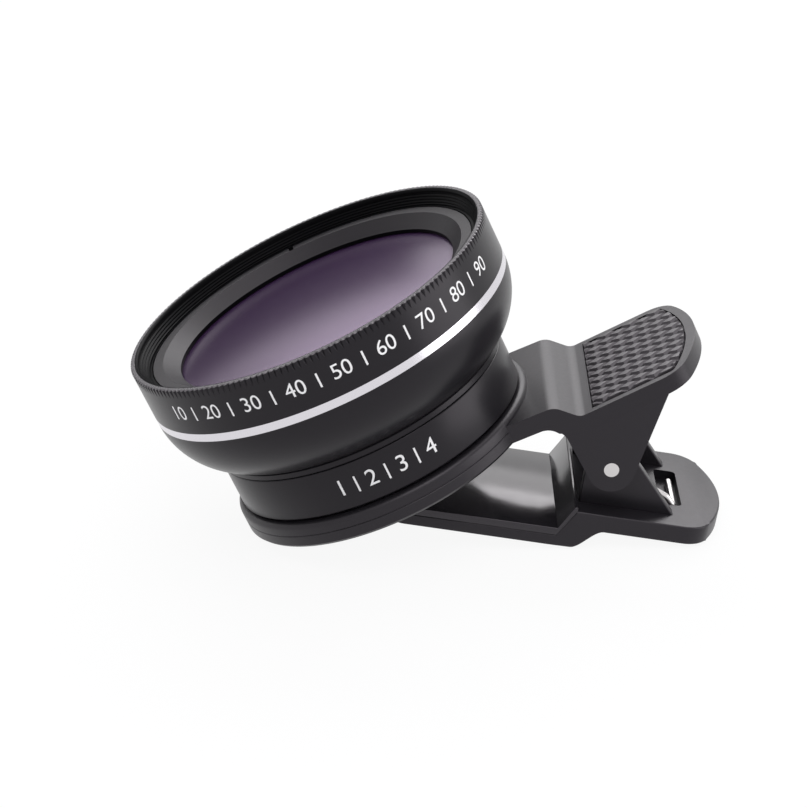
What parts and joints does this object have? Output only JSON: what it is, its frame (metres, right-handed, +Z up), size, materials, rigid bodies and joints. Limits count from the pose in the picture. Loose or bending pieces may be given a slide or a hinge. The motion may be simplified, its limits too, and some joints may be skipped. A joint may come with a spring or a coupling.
{
  "type": "clip on phone lens",
  "caption": "Wide-angle lens screwed on a macro lens, held in the ring of a sprung clip for a phone.",
  "frame": {"origin": "middle of the bounding box's underside, on the table that the lens rests on", "axes": "+X from the lens to the clip's handles, +Y to the left of the handles, +Z up"},
  "size_m": [0.0608, 0.0394, 0.0338],
  "materials": {
    "clip_plastic": "satin black",
    "grip_plastic": "textured dark grey",
    "soft_pad": "smooth black",
    "black_aluminium": "black anodised satin",
    "coated_glass": "purple coating",
    "clear_glass": "clear",
    "bright_steel": "bright"
  },
  "bodies": {
    "clip": {"upper_lever": "clip_plastic", "grip_insert": "grip_plastic", "ring_pad": "soft_pad", "pivot_pin": "bright_steel", "spring": "bright_steel"},
    "jaw": {"lower_lever": "clip_plastic", "jaw_pad": "soft_pad"},
    "macro_travel": {"macro_lens": "clear_glass"},
    "macro": {"macro_barrel": "black_aluminium", "macro_retainer": "black_aluminium"},
    "wide_travel": {"front_lens": "coated_glass"},
    "wide": {"wide_barrel": "black_aluminium", "front_retainer": "black_aluminium"}
  },
  "joints": [
    {"name": "clip_hinge", "type": "hinge", "parent": "clip", "child": "jaw", "pos_m": [0.01836, 0, 0.00904], "axis": [0, -1, 0], "range_deg": [0, 75], "stiffness_Nm_per_rad": 0.08, "springref_deg": -80.21, "deforming": ["spring"]},
    {"name": "macro_lift", "type": "slide", "parent": "clip", "child": "macro_travel", "axis": [-0.4019, 0, 0.9157], "range_m": [0, 0.00169]},
    {"name": "macro_turn", "type": "hinge", "parent": "macro_travel", "child": "macro", "pos_m": [-0.00591, 0, 0.01097], "axis": [-0.4019, 0, 0.9157], "range_deg": [0, 810]},
    {"name": "wide_lift", "type": "slide", "parent": "macro", "child": "wide_travel", "axis": [-0.4019, 0, 0.9157], "range_m": [0, 0.00169]},
    {"name": "wide_turn", "type": "hinge", "parent": "wide_travel", "child": "wide", "pos_m": [-0.00993, 0, 0.02013], "axis": [-0.4019, 0, 0.9157], "range_deg": [0, 810]}
  ],
  "couplings": [
    {"joint": "macro_lift", "follows": "macro_turn", "m_per_rad": 0.00011937},
    {"joint": "wide_lift", "follows": "wide_turn", "m_per_rad": 0.00011937}
  ]
}
